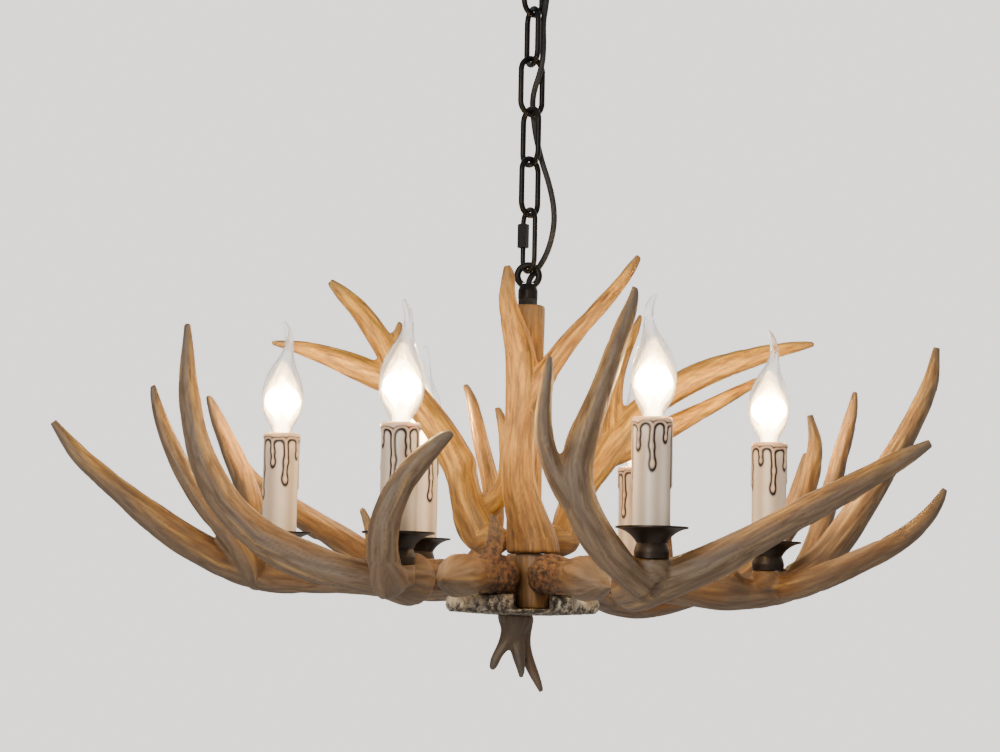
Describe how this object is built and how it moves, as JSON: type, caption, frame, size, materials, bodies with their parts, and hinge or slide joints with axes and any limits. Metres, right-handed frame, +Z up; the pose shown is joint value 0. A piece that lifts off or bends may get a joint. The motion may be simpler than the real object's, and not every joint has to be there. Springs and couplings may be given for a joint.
{
  "type": "antler chandelier",
  "caption": "Chandelier of branching antlers round a column, with candle lamps on drip dishes, hung by an oval-link chain, a quick link and a laced cord from a ceiling canopy.",
  "frame": {"origin": "middle of the ceiling face that the canopy closes on, on the line that the fixture hangs by", "axes": "+Z up, the fixture hanging towards -Z; -Y towards the viewer of the picture; +X to that viewer's right"},
  "size_m": [0.7338, 0.4629, 0.6765],
  "materials": {
    "canopy_bronze": "satin dark bronze paint",
    "ceiling_steel": "zinc plated",
    "chain_black": "satin black",
    "rod_steel": "zinc plated thread",
    "cord_black": "dull black sheath",
    "antler_arm": "cast antler, grooved and stained brown",
    "antler_upper": "cast antler, grooved and stained brown",
    "antler_column": "cast antler, tan",
    "rosette_burr": "pitted grey-white burr",
    "finial_antler": "cast antler, grey-brown",
    "dish_bronze": "dark bronze, satin",
    "sleeve_cream": "cream wax look with brown-rubbed drips",
    "holder_black": "dull black",
    "cap_brass": "screw cap",
    "bulb_glass": "clear flame bulb"
  },
  "bodies": {
    "ceiling": {"canopy": "canopy_bronze", "cross_bar": "ceiling_steel", "canopy_nipple": "ceiling_steel", "canopy_ring_nut": "canopy_bronze", "canopy_loop": "chain_black"},
    "link_1": {"chain_link_1": "chain_black", "cord_1": "cord_black"},
    "link_2": {"chain_link_2": "chain_black", "cord_2": "cord_black"},
    "link_3": {"chain_link_3": "chain_black", "cord_3": "cord_black"},
    "link_4": {"chain_link_4": "chain_black", "cord_4": "cord_black"},
    "link_5": {"chain_link_5": "chain_black", "cord_5": "cord_black"},
    "quick_link": {"quick_link": "chain_black", "cord_6": "cord_black"},
    "quick_link_nut": {"quick_link_nut": "chain_black"},
    "fixture": {"eye": "chain_black", "lock_nut": "chain_black", "threaded_rod": "rod_steel", "column_antler": "antler_column", "hub_stub": "antler_column", "rosette": "rosette_burr", "finial_antler": "finial_antler", "studs": "rod_steel", "lamp_holders": "holder_black", "arm_left": "antler_arm", "arm_front_left": "antler_arm", "arm_back_left": "antler_arm", "arm_front_right": "antler_arm", "arm_back_right": "antler_arm", "arm_right": "antler_arm", "upper_antler_left": "antler_upper", "upper_antler_right": "antler_upper", "dish_left": "dish_bronze", "dish_front_left": "dish_bronze", "dish_back_left": "dish_bronze", "dish_front_right": "dish_bronze", "dish_back_right": "dish_bronze", "dish_right": "dish_bronze", "sleeve_left": "sleeve_cream", "sleeve_front_left": "sleeve_cream", "sleeve_back_left": "sleeve_cream", "sleeve_front_right": "sleeve_cream", "sleeve_back_right": "sleeve_cream", "sleeve_right": "sleeve_cream", "cord_7": "cord_black"},
    "bulb_left": {"bulb_cap_left": "cap_brass", "bulb_glass_left": "bulb_glass"},
    "bulb_front_left": {"bulb_cap_front_left": "cap_brass", "bulb_glass_front_left": "bulb_glass"},
    "bulb_back_left": {"bulb_cap_back_left": "cap_brass", "bulb_glass_back_left": "bulb_glass"},
    "bulb_front_right": {"bulb_cap_front_right": "cap_brass", "bulb_glass_front_right": "bulb_glass"},
    "bulb_back_right": {"bulb_cap_back_right": "cap_brass", "bulb_glass_back_right": "bulb_glass"},
    "bulb_right": {"bulb_cap_right": "cap_brass", "bulb_glass_right": "bulb_glass"}
  },
  "joints": [
    {"name": "link_1_swing", "type": "hinge", "parent": "ceiling", "child": "link_1", "pos_m": [0, 0, -0.0669], "axis": [-0.7431, 0.6691, 0], "range_deg": [-10, 10], "deforming": ["cord_1"]},
    {"name": "link_2_swing", "type": "hinge", "parent": "link_1", "child": "link_2", "pos_m": [0, 0, -0.1102], "axis": [0.9135, 0.4067, 0], "range_deg": [-10, 10], "deforming": ["cord_2"]},
    {"name": "link_3_swing", "type": "hinge", "parent": "link_2", "child": "link_3", "pos_m": [0, 0, -0.1535], "axis": [-0.5878, 0.809, 0], "range_deg": [-10, 10], "deforming": ["cord_3"]},
    {"name": "link_4_swing", "type": "hinge", "parent": "link_3", "child": "link_4", "pos_m": [0, 0, -0.1968], "axis": [0.8192, 0.5736, 0], "range_deg": [-10, 10], "deforming": ["cord_4"]},
    {"name": "link_5_swing", "type": "hinge", "parent": "link_4", "child": "link_5", "pos_m": [0, 0, -0.2401], "axis": [-0.788, 0.6157, 0], "range_deg": [-10, 10], "deforming": ["cord_5"]},
    {"name": "quick_link_swing", "type": "hinge", "parent": "link_5", "child": "quick_link", "pos_m": [0, 0, -0.2829], "axis": [0.8829, 0.4695, 0], "range_deg": [-10, 10], "deforming": ["cord_6"]},
    {"name": "quick_link_nut_slide", "type": "slide", "parent": "quick_link", "child": "quick_link_nut", "axis": [0, 0, -1], "range_m": [0, 0.011]},
    {"name": "fixture_swing", "type": "hinge", "parent": "quick_link", "child": "fixture", "pos_m": [0, 0, -0.329], "axis": [0, 1, 0], "range_deg": [-10, 10], "deforming": ["cord_7"]},
    {"name": "bulb_left_unscrew", "type": "slide", "parent": "fixture", "child": "bulb_left", "axis": [0, 0, 1], "range_m": [0, 0.015]},
    {"name": "bulb_front_left_unscrew", "type": "slide", "parent": "fixture", "child": "bulb_front_left", "axis": [0, 0, 1], "range_m": [0, 0.015]},
    {"name": "bulb_back_left_unscrew", "type": "slide", "parent": "fixture", "child": "bulb_back_left", "axis": [0, 0, 1], "range_m": [0, 0.015]},
    {"name": "bulb_front_right_unscrew", "type": "slide", "parent": "fixture", "child": "bulb_front_right", "axis": [0, 0, 1], "range_m": [0, 0.015]},
    {"name": "bulb_back_right_unscrew", "type": "slide", "parent": "fixture", "child": "bulb_back_right", "axis": [0, 0, 1], "range_m": [0, 0.015]},
    {"name": "bulb_right_unscrew", "type": "slide", "parent": "fixture", "child": "bulb_right", "axis": [0, 0, 1], "range_m": [0, 0.015]}
  ]
}
